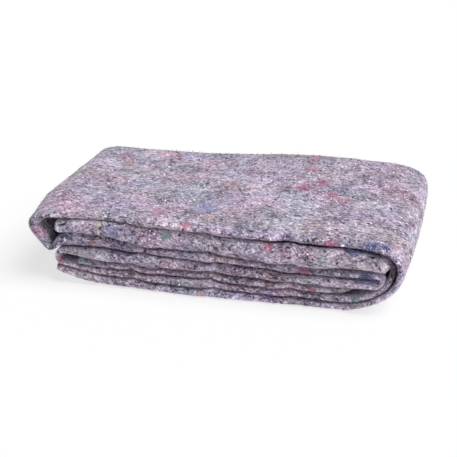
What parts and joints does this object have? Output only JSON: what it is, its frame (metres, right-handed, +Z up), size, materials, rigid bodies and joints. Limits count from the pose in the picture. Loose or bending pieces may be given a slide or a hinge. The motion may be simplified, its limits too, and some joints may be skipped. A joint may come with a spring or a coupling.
{
  "type": "folded floor protection fleece",
  "caption": "Folded packet of heathered felt fleece for covering floors: one long sheet halved across its width and turned back on itself in loose, uneven layers.",
  "frame": {"origin": "middle of the packet's underside, on the floor, at the centre of its outer box", "axes": "+X along the packet's length towards the end with the stacked round wraps, +Y from the rounded front folds to the back, +Z up"},
  "size_m": [0.4042, 0.2432, 0.0839],
  "materials": {
    "felt": "matt, fuzzy needled felt of mixed recycled fibres: mauve-grey heather with pale, dark and coloured flecks"
  },
  "bodies": {
    "root": {"fleece": "felt"}
  },
  "joints": []
}
